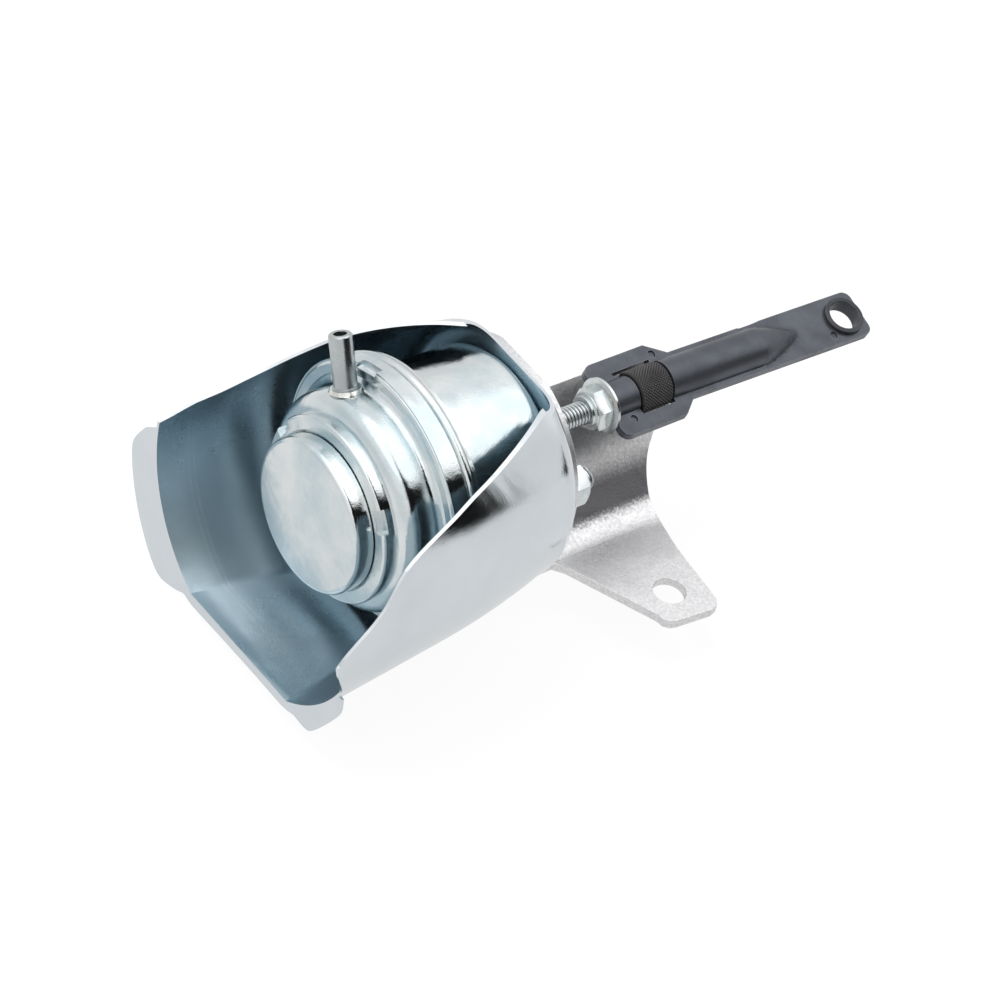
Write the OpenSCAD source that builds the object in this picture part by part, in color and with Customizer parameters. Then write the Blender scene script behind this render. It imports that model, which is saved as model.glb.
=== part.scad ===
// Vacuum actuator for a turbocharger: a diaphragm can inside a heat shield, on a sheet
// bracket, with a threaded rod and a pressed rod end that a knurled barrel adjusts.
// Every piece is laid out about the rod's axis: x runs from the face of the end cap
// towards the rod's eye. The part's origin is the bolt hole in the bracket's foot.

/* [End cap and cans] */
// Outer radius of the end cap
cap_r = 19.3; // [18.8:0.1:19.8]
// Length of the end cap's side wall
cap_len = 6.4; // [6:0.2:7]
// Radius of the rounded rim around the end cap's face
cap_rim = 1.6; // [1.2:0.1:2]
// Outer radius of the front can
drum_r = 27.3; // [27:0.1:27.8]
// Radius of the front can's rounded shoulder
drum_round = 4.5; // [3.5:0.5:5]
// Distance from the cap's face to the front can's front wall
drum_front = 8.6; // [8.4:0.1:9]
// How far the rolled seam stands out beyond the front can
seam_out = 5.7; // [5.4:0.1:6]
// Distance from the cap's face to the front of the seam
seam_front = 19.2; // [19:0.2:20]
// Length of the seam along the axis
seam_len = 9.2; // [9:0.2:9.8]
// How much smaller the rear can's radius is than the front can's
rear_less = 0.4; // [0.2:0.1:0.8]
// Distance from the cap's face to the rear can's back
can_back = 55.2; // [54.6:0.2:56]
// Radius of the rear can's rounded back edge
rear_round = 4; // [3:0.5:5]
// Thickness of the cans' sheet
can_sheet = 1.2; // [1:0.1:1.4]
// Number of places where the front can's lip is notched
stakes = 3; // [2:1:4]
// Angle of the first notch around the axis
stake_angle = 25; // [20:1:30]
// Width of each notch in the lip
stake_w = 6; // [5:0.5:7]

/* [Hose nipple] */
// Distance from the cap's face to the nipple
nipple_x = 14.8; // [14.4:0.1:15.2]
// Angle of the nipple from the vertical
nipple_tilt = 26; // [20:1:32]
// Outer radius of the nipple's tube
nipple_r = 2.85; // [2.7:0.05:3]
// Radius of the nipple's bore
nipple_bore_r = 1.6; // [1.4:0.1:1.8]
// How far the nipple stands out of the drum
nipple_len = 14.1; // [13.4:0.1:14.8]

/* [Heat shield] */
// Thickness of the shield's sheet
shield_sheet = 0.8; // [0.7:0.1:1]
// Distance that the shield's mouth stands ahead of the end cap
shield_ahead = 14; // [13:0.5:15]
// Outer radius of the shield at its waist
shield_r = 38.4; // [38:0.1:38.8]
// Distance from the waist to the cap's face
shield_waist = 20; // [18:1:22]
// How much the shield widens per millimetre towards its mouth
shield_flare = 0.1; // [0.09:0.005:0.11]
// Radius of the curve that draws the shield in behind its waist
shield_belly = 190; // [170:5:210]
// Radius of the shield's rounded back edge
shield_round = 4; // [3:0.5:5]
// Distance from the axis down to the shield's flat floor
shield_floor = 36.5; // [36:0.1:37]
// Tilt of the shield's floor, lower on the side away from the bracket's foot
shield_tilt = 3; // [1:1:5]
// Height of the straight cut across the shield's back wall
shield_cut = 27.5; // [26:0.5:28]

/* [Bracket] */
// Thickness of the bracket's plate
plate = 2.5; // [2.3:0.1:2.7]
// Angle of the bracket's leg from the horizontal
leg_angle = 39; // [37:1:41]
// Distance from the rod's axis to the leg's upper face
leg_drop = 14.3; // [13.8:0.1:14.8]
// Inner radius of the bend between leg and foot
leg_bend = 13.5; // [11:0.5:15]
// Height of the axis above the foot's upper face
foot_drop = 30; // [29.5:0.1:30.5]
// Radius of the bolt hole in the foot
hole_r = 4.25; // [4:0.05:4.5]
// Distance from the cap's face to the bolt hole
hole_x = 89.3; // [89:0.1:89.6]
// Sideways distance from the axis to the bolt hole
hole_y = 38.1; // [37.8:0.1:38.4]
// Radius of the bracket's end plate
end_plate_r = 28.2; // [28:0.1:29]
// Height of the straight top edge of the end plate
end_plate_top = 26.6; // [25:0.2:27]

/* [Studs] */
// Radius of the two studs
stud_r = 3; // [2.9:0.05:3.1]
// Distance from the axis to each stud
stud_ring = 21; // [20.6:0.1:21.4]
// Angle of the first stud around the axis
stud_angle = 171; // [165:1:177]
// Distance from the end plate to a stud's tip
stud_len = 8.8; // [8.4:0.2:9.4]
// Width of the stud nuts across the flats
nut_flats = 10; // [9.8:0.1:10.2]
// Thickness of the stud nuts
nut_len = 5; // [4.6:0.1:5.2]
// Outer radius of the washers
washer_r = 6; // [5.8:0.1:6.2]
// Thickness of the washers
washer_len = 0.8; // [0.6:0.1:1]

/* [Rod] */
// Radius of the rod over its thread
rod_r = 3; // [2.95:0.05:3.05]
// Distance from the cap's face to the rod's tip
rod_tip = 111.5; // [111:0.5:112]
// Radial clearance of the rod in everything that runs on it
rod_fit = 0.06; // [0.04:0.01:0.09]
// Distance that the vacuum pulls the rod in
stroke = 12; // [8:1:13]
// Radius of the diaphragm's support plate
piston_r = 19; // [18:0.5:19.5]

/* [Lock nut] */
// Distance from the cap's face to the lock nut's flange face
lock_x = 89.1; // [89:0.1:89.3]
// Radius of the lock nut's flange
lock_flange_r = 7.2; // [7:0.1:7.4]
// Thickness of the lock nut's flange
lock_flange = 1.4; // [1.2:0.1:1.6]
// Length of the lock nut's hexagon
lock_hex = 3.4; // [3:0.2:3.8]
// Length of the lock nut's round crown
lock_crown = 1.4; // [1.2:0.1:1.8]

/* [Rod end] */
// Thickness of each of the rod end's two plates
end_sheet = 1.1; // [1:0.05:1.2]
// Angle of the rod end's plates around the rod's axis
end_roll = 15; // [0:1:20]
// Half width of the rod end's wings
wing_w = 10.7; // [10.4:0.1:11]
// Gap between the lock nut and the rod end at rest
wing_gap = 0.1; // [0.05:0.05:0.2]
// Length of the wings
wing_len = 19.6; // [19:0.2:20]
// Half width of the rod end's bar
bar_w = 6.7; // [6.5:0.05:6.9]
// Angle by which the bar leans off the rod's axis
bar_lean = 1.3; // [0:0.1:2]
// Distance from the cap's face to the centre of the rod's eye
eye_x = 168; // [166:0.5:170]
// Distance from the eye's centre to the bar's end
eye_past = 5.8; // [5.6:0.1:6.4]
// Radius of the bar's corners at the eye
eye_corner = 2.4; // [2:0.1:3]
// Radius of the eye
eye_r = 4.07; // [4.03:0.01:4.1]
// Outer radius of the eye's bush
eye_bush_r = 5.4; // [5.2:0.1:5.6]
// Length of the eye's bush
eye_bush_len = 4.4; // [4:0.2:5]
// Outer radius of the tube pressed into the plates ahead of the window
neck_r = 5; // [4.9:0.1:5.2]
// Outer radius of the tube pressed into the plates behind the window
tube_r = 5.6; // [5.5:0.1:5.8]
// Length over which that tube keeps its full radius
tube_full = 30.5; // [28:0.5:33]
// Length over which it then fades out
tube_fade = 14.5; // [12:0.5:17]
// Length of the rod end's neck, from its front edge to the window
neck_len = 8.2; // [8:0.1:8.6]
// Length of the window
window_len = 10.5; // [10.3:0.1:10.7]
// Half width of the window
window_w = 6.5; // [6.3:0.1:6.7]
// Radius of the knurled barrel
barrel_r = 5.8; // [5.6:0.1:5.9]
// Gap between the barrel and each end of the window
barrel_gap = 0.25; // [0.15:0.05:0.35]

/* [Hidden] */
$fn = 96;

foot_under = foot_drop + plate;
mouth_x = -shield_ahead;
cap_wall = 1;
seam_back = seam_front + seam_len;
seam_r = drum_r + seam_out;
rear_r = drum_r - rear_less;
clamp_x = seam_front + 3.4;
rubber = 1.2;
flange_back = clamp_x + rubber + can_sheet;
wall_x = can_back;
plate_x = wall_x + shield_sheet;
plate_back = plate_x + plate;
nut_x = plate_back + washer_len;
stud_tip = plate_back + stud_len;
run_r = rod_r + rod_fit;
bush_r = 6.4;
bush_flange_r = bush_r + 2.6;
nipple_hole_r = nipple_r + 0.35;
nipple_top = drum_r + nipple_len;
nipple_foot = drum_r + 1.1;
bush_seat = can_back - can_sheet;
piston_x = clamp_x + stroke;
cup_sheet = 1;
wing_x = lock_x + wing_gap;
window_x = wing_x + neck_len;
window_back = window_x + window_len;
wing_back = wing_x + wing_len;
eye_plate = 2 * end_sheet;

// Radius of the shield's outside at a distance x from the cap's face
function shield_at(x) = x < shield_waist
    ? shield_r + shield_flare * (shield_waist - x)
    : shield_r - shield_flare * (x - shield_waist)
        - pow(x - shield_waist, 2) / (2 * shield_belly);

// Point number i of a smooth curve through the points p, with n steps between two
function curve_at(p, i, t) = let (
    a = p[max(i - 1, 0)],
    b = p[i],
    c = p[i + 1],
    d = p[min(i + 2, len(p) - 1)])
    0.5 * (2 * b + (c - a) * t + (2 * a - 5 * b + 4 * c - d) * t * t
        + (3 * b - a - 3 * c + d) * t * t * t);
function curve(p, n) = concat(
    [for (i = [0 : len(p) - 2]) for (k = [0 : n - 1]) curve_at(p, i, k / n)],
    [p[len(p) - 1]]);

// Moves a piece from the rod's axis to the part's own frame
module on_axis() {
    translate([-hole_x, hole_y, foot_under]) children();
}

// Turns a half profile, radius across and x upwards, about the rod's axis
module turned() {
    rotate([0, 90, 0]) rotate_extrude() children();
}

// Extrudes an outline in y and z along the rod's axis
module along_x(x0, x1) {
    translate([x0, 0, 0]) rotate([90, 0, 90]) linear_extrude(x1 - x0) children();
}

// Extrudes an outline in x and z sideways from y0 to y1
module along_y(y0, y1) {
    translate([0, y1, 0]) rotate([90, 0, 0]) linear_extrude(y1 - y0) children();
}

// A round bar on the rod's axis, or a tapered one
module bar(x0, x1, ra, rb = -1) {
    translate([x0, 0, 0]) rotate([0, 90, 0])
        cylinder(h = x1 - x0, r1 = ra, r2 = rb < 0 ? ra : rb);
}

// Half profile of a disc from x0 to x1 whose front rim is rounded
module front_rounded(r, x0, x1, c) {
    translate([0, x0 + c]) square([r, x1 - x0 - c]);
    translate([0, x0]) square([r - c, c + 0.1]);
    translate([r - c, x0 + c]) circle(c);
}

// The same disc with its back rim rounded
module back_rounded(r, x0, x1, c) {
    translate([0, x0]) square([r, x1 - x0 - c]);
    translate([0, x1 - c - 0.1]) square([r - c, c + 0.1]);
    translate([r - c, x1 - c]) circle(c);
}

// Places a piece on both studs
module at_studs() {
    for (a = [stud_angle, stud_angle + 180])
        translate([0, stud_ring * cos(a), stud_ring * sin(a)]) children();
}

// Places a piece along the nipple's direction, z pointing outwards
module at_nipple() {
    translate([nipple_x, 0, 0]) rotate([-nipple_tilt, 0, 0]) children();
}

// The rod end's own frame: z stands square to its plates
module on_plates() {
    rotate([end_roll, 0, 0]) children();
}

module end_cap() {
    color("gainsboro") on_axis() turned() difference() {
        union() {
            front_rounded(cap_r, 0, cap_len + 1, cap_rim);
            translate([cap_r - cap_wall, cap_len]) square([3.6, cap_wall]);
        }
        front_rounded(cap_r - cap_wall, cap_wall, cap_len + 2, cap_rim - cap_wall);
    }
}

module spring_seat() {
    seat_sheet = 0.8;
    seat_rim = 3 * seat_sheet;
    seat_in = 3;
    color("silver") on_axis() turned() difference() {
        translate([spring_r - seat_in, cap_wall]) square([cap_r - spring_r + seat_in / 2, seat_rim]);
        translate([spring_r - 1.2, cap_wall + seat_sheet]) square([cap_r - spring_r, 2]);
    }
}

// Half profile of the front can's hollow flare, which runs out to the clamped flange
module flare() {
    flare_r = 2.4;
    difference() {
        translate([drum_r - 1, seam_front - flare_r]) square([seam_out - 2.2, flare_r + 1]);
        translate([drum_r + flare_r, seam_front - flare_r]) circle(flare_r);
    }
}

// The lip that is rolled over the end cap's flange, and the drum behind it
module front_can() {
    lip_r = cap_r + 3.9;
    color("gainsboro") on_axis() difference() {
        turned() difference() {
            union() {
                front_rounded(drum_r, drum_front, seam_front, drum_round);
                translate([cap_r + 0.5, cap_len - 1]) square([lip_r - cap_r - 1.4, 1]);
                translate([lip_r - 1.6, cap_len - 0.1]) square([1.6, drum_front - cap_len + 2]);
                translate([lip_r - 0.9, cap_len - 0.1]) circle(0.9);
                // The flare out to the clamped flange
                flare();
                translate([drum_r - 1, seam_front]) square([seam_out - 0.6, 1.6]);
            }
            // Hollow behind the front wall
            front_rounded(drum_r - can_sheet, drum_front + can_sheet, clamp_x,
                drum_round - can_sheet);
            // Opening that the end cap closes
            translate([0, 0]) square([cap_r - 1, drum_front + 4]);
            translate([0, cap_len]) square([cap_r + 2.62, 1.02]);
        }
        at_nipple() translate([0, 0, drum_r - 6]) cylinder(h = 12, r = nipple_hole_r);
        // Stakes that lock the lip
        for (k = [0 : stakes - 1])
            rotate([stake_angle + 360 * k / stakes, 0, 0])
                translate([cap_len - 1.4, cap_r + 1.4, -stake_w / 2]) cube([1.9, 4, stake_w]);
    }
}

module hose_nipple() {
    color("silver") on_axis() at_nipple() difference() {
        union() {
            translate([0, 0, nipple_foot]) cylinder(h = nipple_top - nipple_foot - 0.4, r = nipple_r);
            translate([0, 0, drum_r - 3]) cylinder(h = nipple_foot - drum_r + 3.1, r = nipple_hole_r);
            translate([0, 0, nipple_top - 0.4]) cylinder(h = 0.4, r1 = nipple_r, r2 = nipple_r - 0.35);
        }
        translate([0, 0, drum_r - 4]) cylinder(h = nipple_top, r = nipple_bore_r);
    }
}

module nipple_braze() {
    color("silver") on_axis() difference() {
        at_nipple() translate([0, 0, drum_r - 2.4]) cylinder(h = 3.2, r1 = 5.6, r2 = nipple_hole_r + 0.5);
        bar(0, 40, drum_r, $fn = 480);
        turned() flare();
        at_nipple() cylinder(h = 60, r = nipple_hole_r);
    }
}

// The band that holds both cans and the diaphragm together; its ends leave a gap on top
module seam_ring() {
    color("gainsboro") on_axis() difference() {
        turned() difference() {
            union() {
                translate([seam_r - 3.4, seam_front]) square([2.4, seam_len - 0.6]);
                translate([seam_r - 2, seam_front - 0.3]) square([2, 4.4]);
                translate([seam_r - 1.5, seam_front + 6.3]) circle(1.4);
                translate([seam_r - 3.2, seam_front + seam_len - 1.4]) circle(1.4);
                translate([seam_r - 4.6, seam_front - 0.8]) square([3.4, 0.8]);
                translate([seam_r - 1.2, seam_front]) circle(0.8);
            }
            translate([drum_r - 2, seam_front]) square([seam_out + 0.8, flange_back - seam_front]);
            translate([rear_r - 2, seam_front]) square([3.3, seam_len + 1]);
            // Room for the front can's flare
            translate([drum_r - 3, seam_front - 3]) square([seam_out - 0.2, 3]);
        }
        rotate([70, 0, 0]) translate([seam_front - 2, seam_r - 1.2, -3.6]) cube([3.6, 4, 7.2]);
    }
}

module rear_can() {
    color("gainsboro") on_axis() difference() {
        turned() difference() {
            union() {
                back_rounded(rear_r, clamp_x + rubber, can_back, rear_round);
                translate([rear_r - 1, clamp_x + rubber]) square([seam_out + rear_less - 0.3, can_sheet]);
                translate([rear_r - 1, clamp_x + rubber]) square([2.3, seam_back - clamp_x - rubber - 0.8]);
            }
            back_rounded(rear_r - can_sheet, clamp_x, bush_seat, rear_round - can_sheet);
        }
        bar(bush_seat - 1, can_back + 1, bush_r);
        at_studs() bar(bush_seat - 1, can_back + 1, stud_r);
    }
}

module guide_bush() {
    color("darkgoldenrod") on_axis() difference() {
        union() {
            bar(bush_seat - 2, bush_seat, bush_flange_r);
            bar(bush_seat, plate_back + 2, bush_r);
        }
        bar(bush_seat - 3, plate_back + 3, run_r);
    }
}

// Half profile of the shield's bowl, drawn in by t all round
module bowl_profile(t) {
    front = -22 - 2 * t;
    tail = wall_x + shield_sheet - t;
    c = shield_round - t;
    r_end = shield_at(wall_x - shield_round) - t;
    polygon(concat(
        [[0, tail], [0, front], [shield_at(front) - t, front]],
        [for (x = [-18 : 4 : wall_x - shield_round - 1]) [shield_at(x) - t, x]],
        [for (a = [0 : 11.25 : 90]) [r_end - c + c * cos(a), tail - c + c * sin(a)]]));
}

// Height of the far wall's top edge, x and z
far_edge = [[mouth_x - 2, -0.5], [mouth_x, 0.1], [-10.3, 1.5], [-5, 3.9], [1.3, 5.6], [6.5, 7.7],
    [12.3, 10.4], [17.8, 13.5], [23.2, 16.8], [27, 19.8], [32, 22.8], [38, 25], [45, 27],
    [51, 28.5], [58, 30]];
// Height of the near wall's top edge, x and z
near_edge = [[-20, 0.5], [-19.2, 1.7], [-17.3, 3.5], [mouth_x, 5.9], [-10.7, 8.1], [-7.2, 11],
    [-4.5, 14], [-1, 17.1], [3.9, 19.2], [9.4, 20.8], [15.5, 22.4], [21.8, 24.1], [27.7, 25.2],
    [32.8, 26.1], [39, 27], [45.6, 27.7], [51.4, 28.1], [60, 28.4]];

// The bowl with its flat floor, drawn in by t all round
module bowl(t) {
    intersection() {
        turned() bowl_profile(t);
        rotate([-shield_tilt, 0, 0]) translate([-40, -80, t - shield_floor])
            cube([120, 160, 120]);
    }
}

// Outline of the turned-out rim in the plane of the mouth
module rim_outline() {
    polygon(concat(
        curve([[46, -6], [49.2, -12.5], [48.8, -18], [46, -25.5], [42, -32.5], [36.5, -39],
            [31.4, -42.5], [27.2, -42], [23.5, -40.6], [20.5, -39.2], [16.8, -39.7], [6.4, -38.9],
            [-10.4, -37.8], [-21, -37.3], [-25.6, -36], [-29.4, -36], [-32.4, -34.5],
            [-36.9, -27.1], [-39.7, -21], [-39.4, -16.6]], 3),
        [[-34, -16.2], [0, -5], [38, -2.5], [42, -2.5]]));
}

// The part of the near wall's front that runs ahead of the mouth, x and z
near_front = [[mouth_x, -15.5], [-15.2, -12], [-17.2, -8], [-19.2, -4], [-20.4, -0.5],
    [-20.6, 1]];

module heat_shield() {
    color("lightsteelblue") on_axis() difference() {
        union() {
            bowl(0);
            along_x(mouth_x - 0.5, mouth_x + shield_sheet) rim_outline();
        }
        bowl(shield_sheet);
        // Everything ahead of the mouth, but for the ear on the near wall
        translate([-60, 0, -80]) cube([60 + mouth_x, 80, 160]);
        along_y(-80, 1) polygon(concat(curve(near_front, 2), [[-60, 1], [-60, -80], [mouth_x, -80]]));
        along_y(-1, 80) polygon(concat(curve(far_edge, 2), [[58, 81], [mouth_x - 2, 81]]));
        along_y(-79, 1) polygon(concat(curve(near_edge, 2), [[60, 80], [-61, 80], [-61, 0.5]]));
        translate([wall_x - 4, -60, shield_cut]) cube([30, 120, 60]);
        bar(wall_x - 1, wall_x + 2, bush_r);
        at_studs() bar(wall_x - 1, wall_x + 2, stud_r);
    }
}

// Section of the leg and the foot, seen along the rod's axis
module leg_section() {
    cy = -((foot_drop - leg_bend) * cos(leg_angle) - (leg_drop - leg_bend)) / sin(leg_angle);
    cz = leg_bend - foot_drop;
    out = leg_bend + plate;
    n = 12;
    // From the foot's edge round the bend and up the leg, then back along the upper faces
    translate([cy, cz]) polygon(concat(
        [[-60, -out]],
        [for (i = [0 : n]) let (a = leg_angle * i / n) [out * sin(a), -out * cos(a)]],
        [[out * sin(leg_angle) + 70 * cos(leg_angle), -out * cos(leg_angle) + 70 * sin(leg_angle)]],
        [[leg_bend * sin(leg_angle) + 70 * cos(leg_angle), -leg_bend * cos(leg_angle)
            + 70 * sin(leg_angle)]],
        [for (i = [n : -1 : 0]) let (a = leg_angle * i / n)
            [leg_bend * sin(a), -leg_bend * cos(a)]],
        [[-60, -leg_bend]]));
}

// Outline of the leg and the foot, seen from above, x and y
module leg_outline() {
    polygon(concat(
        [[68.5, 15.5], [66.8, 14.6], [66.2, 12.2], [plate_x + 0.3, 12.2], [plate_x + 0.3, -17.8],
            [68.3, -17.6], [70.6, -20.3], [81.6, -43.2], [81.9, -45.2], [83.2, -46.6],
            [85, -47.1], [95.2, -48], [97.3, -47.4], [98.6, -45.6]],
        curve([[99, -42.5], [99.7, -35], [100.3, -29], [101.2, -24], [102.5, -18], [103.1, -13.5],
            [103.7, -10.5], [104.8, -7.5], [106.5, -4.5], [108.6, -2.1], [111.4, 0.2], [114, 3],
            [115.4, 7], [115.5, 15.5]], 2)));
}

module bracket() {
    color("lightgray") on_axis() difference() {
        union() {
            intersection() {
                along_x(plate_x, 130) leg_section();
                translate([0, 0, -60]) linear_extrude(80) leg_outline();
            }
            along_x(plate_x, plate_back) difference() {
                circle(end_plate_r);
                translate([-60, end_plate_top]) square([120, 60]);
                // Below the leg there is nothing
                rotate(leg_angle) translate([-60, -leg_drop - plate - 59.2]) square([120, 60]);
            }
        }
        translate([hole_x, -hole_y, -60]) cylinder(h = 60, r = hole_r);
        bar(plate_x - 1, plate_back + 1, bush_r);
        at_studs() bar(plate_x - 1, plate_back + 1, stud_r);
    }
}

module studs() {
    color("silver") on_axis() at_studs() {
        bar(bush_seat - 1.2, bush_seat, stud_r + 2);
        bar(bush_seat, stud_tip - 0.6, stud_r);
        bar(stud_tip - 0.6, stud_tip, stud_r, stud_r - 0.6);
    }
}

module stud_washers() {
    color("silver") on_axis() at_studs() difference() {
        bar(plate_back, nut_x, washer_r);
        bar(plate_back - 1, nut_x + 1, stud_r);
    }
}

// A hexagon across the flats w, with its corners turned off at one end
module hexagon(x0, x1, w, r) {
    intersection() {
        translate([x0, 0, 0]) rotate([0, 90, 0]) cylinder(h = x1 - x0, r = w / 2 / cos(30), $fn = 6);
        union() {
            bar(x0, x0 + 0.8, r, w / 2 / cos(30) + 0.1);
            bar(x0 + 0.8, x1, w / 2 / cos(30) + 0.1);
        }
    }
}

module stud_nuts() {
    color("silver") on_axis() at_studs() difference() {
        translate([nut_x + nut_len, 0, 0]) mirror([1, 0, 0])
            hexagon(0, nut_len, nut_flats, nut_flats / 2 - 0.1);
        bar(nut_x - 1, nut_x + nut_len + 1, stud_r);
    }
}

module diaphragm() {
    color("dimgray") on_axis() turned() {
        edge_r = rear_r - can_sheet - 0.2;
        translate([edge_r - 0.2, clamp_x]) square([drum_r + seam_out - 2.6 - edge_r, rubber]);
        polygon([[edge_r, clamp_x], [edge_r, clamp_x + rubber],
            [piston_r + 2.2, piston_x], [rod_r, piston_x], [rod_r, piston_x - rubber],
            [piston_r + 1.6, piston_x - rubber]]);
    }
}

// Points of the spring's centre line: closed end turns and an open body
spring_wire = 0.9;
spring_turns = 7;
spring_r = cap_r - 4.3;
spring_a = cap_wall + 0.8 + spring_wire;
spring_b = piston_x - rubber - cup_sheet - spring_wire;
function spring_x(t) = let (u = min(max(t - 1, 0) / (spring_turns - 2), 1),
    e = min(t, 1) + max(t - spring_turns + 1, 0))
    spring_a + e * spring_wire * 2 + u * (spring_b - spring_a - 4 * spring_wire);
spring_steps = 18;
spring_sides = 6;

module return_spring() {
    n = spring_turns * spring_steps;
    points = [for (i = [0 : n]) let (t = i / spring_steps, a = 360 * t)
        for (k = [0 : spring_sides - 1]) let (b = 360 * k / spring_sides,
            r = spring_r + spring_wire * cos(b))
            [spring_x(t) + spring_wire * sin(b), r * cos(a), r * sin(a)]];
    rings = [for (i = [0 : n - 1]) for (k = [0 : spring_sides - 1]) let (
        a = i * spring_sides + k,
        b = i * spring_sides + (k + 1) % spring_sides)
        [a, a + spring_sides, b + spring_sides, b]];
    ends = [[for (k = [0 : spring_sides - 1]) k],
        [for (k = [spring_sides - 1 : -1 : 0]) n * spring_sides + k]];
    color("slategray") on_axis() polyhedron(points, concat(rings, ends));
}

module piston_cup() {
    front = piston_x - rubber - cup_sheet;
    color("silver") on_axis() turned() {
        translate([rod_r, front]) square([piston_r - rod_r, cup_sheet]);
        translate([piston_r - cup_sheet, front - 3]) square([cup_sheet, 3 + cup_sheet / 2]);
    }
}

module support_plate() {
    color("silver") on_axis() turned() translate([rod_r, piston_x]) square([piston_r - rod_r, cup_sheet]);
}

module rod() {
    front = piston_x - rubber - cup_sheet;
    color("silver") on_axis() {
        bar(front - 1.2, front, rod_r + 1.6);
        bar(front, rod_tip - 0.8, rod_r);
        bar(rod_tip - 0.8, rod_tip, rod_r, rod_r - 0.7);
    }
}

module rod_sleeve() {
    color("silver") on_axis() difference() {
        bar(piston_x + cup_sheet, bush_seat - 2.1, rod_r + 1.6);
        bar(piston_x, bush_seat, rod_r);
    }
}

// Outline of both plates, seen square to them
module end_outline() {
    c = 2.6;
    difference() {
        union() {
            translate([wing_x, c - wing_w]) square([wing_len, 2 * (wing_w - c)]);
            translate([wing_x + c, -wing_w]) square([wing_len - c, 2 * wing_w]);
            for (s = [-1, 1]) translate([wing_x + c, s * (wing_w - c)]) circle(c);
            polygon([[wing_back - 0.1, -wing_w], [wing_back, -wing_w],
                [wing_back + shoulder, 0.3 - bar_w], [wing_back + shoulder, bar_w - 0.3],
                [wing_back, wing_w], [wing_back - 0.1, wing_w]]);
            leaning() {
                translate([wing_back, -bar_w]) square([bar_end - eye_corner - wing_back, 2 * bar_w]);
                translate([wing_back, eye_corner - bar_w])
                    square([bar_end - wing_back, 2 * (bar_w - eye_corner)]);
                for (s = [-1, 1])
                    translate([bar_end - eye_corner, s * (bar_w - eye_corner)]) circle(eye_corner);
            }
        }
        translate([window_x, -window_w]) square([window_len, 2 * window_w]);
        translate([window_x - 1.5, window_w - 0.9]) square([2, 0.9]);
    }
}

bar_end = eye_x + eye_past;
shoulder = 5.6;
clinch_spots = [[94.2, -6.8], [109.7, 7.6], [162, -5.2]];

// Leans a piece off the rod's axis, about the back of the window
module leaning() {
    translate([window_back, 0, 0]) rotate([0, 0, -bar_lean]) translate([-window_back, 0, 0])
        children();
}

// Half profile of the tube behind the window, which fades into the plates
module tube_profile() {
    low = end_sheet - 0.1;
    fade_x = window_back + tube_full;
    polygon(concat(
        [[0, window_back + 0.15], [tube_r, window_back + 0.15]],
        [for (u = [0 : 0.125 : 1])
            [tube_r - (tube_r - low) * pow(u, 1.4), fade_x + tube_fade * u]],
        [[0, fade_x + tube_fade]]));
}

// Half profile of the hollow in that tube
module tube_hollow() {
    fade_x = window_back + tube_full;
    polygon([[0, window_back - 1], [tube_r - end_sheet, window_back - 1],
        [tube_r - end_sheet, fade_x], [0, fade_x + 0.6 * tube_fade]]);
}

// One plate of the pair; the other is its mirror image
module end_plate() {
    difference() {
        union() {
            linear_extrude(end_sheet) end_outline();
            intersection() {
                union() {
                    bar(wing_x, window_x, neck_r);
                    leaning() turned() tube_profile();
                }
                translate([wing_x, -8, 0]) cube([120, 16, 12]);
            }
        }
        // Room for the rod inside the pressed tube
        bar(wing_x - 1, window_x + 1, neck_r - end_sheet);
        leaning() turned() tube_hollow();
        leaning() translate([eye_x, 0, -1]) cylinder(h = 9, r = eye_bush_r);
        for (p = clinch_spots)
            translate([p[0], p[1], -1]) cylinder(h = 9, r = 1.1);
    }
}

module rod_end_upper() {
    color("slategray") on_axis() on_plates() end_plate();
}

module rod_end_lower() {
    color("slategray") on_axis() on_plates() mirror([0, 0, 1]) end_plate();
}

module eye_bush() {
    color("darkslategray") on_axis() on_plates() leaning() translate([eye_x, 0, -eye_bush_len / 2])
        difference() {
            cylinder(h = eye_bush_len, r = eye_bush_r);
            translate([0, 0, -1]) cylinder(h = eye_bush_len + 2, r = eye_r);
        }
}

module clinches() {
    color("darkslategray") on_axis() on_plates() for (p = clinch_spots)
        translate([p[0], p[1], -end_sheet - 0.5]) difference() {
            cylinder(h = eye_plate, r = 1.1);
            translate([0, 0, eye_plate - 0.1]) cylinder(h = 1, r = 0.7);
        }
}

module knurled_barrel() {
    x0 = window_x + barrel_gap;
    x1 = window_back - barrel_gap;
    color("dimgray") on_axis() difference() {
        union() {
            bar(x0, x0 + 0.5, barrel_r - 0.5, barrel_r);
            bar(x0 + 0.5, x1 - 0.5, barrel_r);
            bar(x1 - 0.5, x1, barrel_r, barrel_r - 0.5);
        }
        bar(x0 - 1, x1 + 1, run_r);
    }
}

module lock_nut() {
    hex_x = lock_x - lock_flange - lock_hex;
    color("silver") on_axis() difference() {
        union() {
            bar(lock_x - 0.7, lock_x, lock_flange_r);
            bar(lock_x - lock_flange, lock_x - 0.7, nut_flats / 2 + 0.9, lock_flange_r);
            hexagon(hex_x, lock_x - 0.5, nut_flats, nut_flats / 2 - 0.1);
            bar(hex_x - lock_crown, hex_x + 0.5, rod_r + 1.1);
            bar(hex_x - 0.4, hex_x + 0.5, rod_r + 1.7);
        }
        bar(hex_x - lock_crown - 1, lock_x + 1, run_r);
    }
}

end_cap();
spring_seat();
front_can();
hose_nipple();
nipple_braze();
seam_ring();
rear_can();
guide_bush();
heat_shield();
bracket();
studs();
stud_washers();
stud_nuts();
diaphragm();
return_spring();
piston_cup();
support_plate();
rod();
rod_sleeve();
rod_end_upper();
rod_end_lower();
eye_bush();
clinches();
knurled_barrel();
lock_nut();
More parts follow.
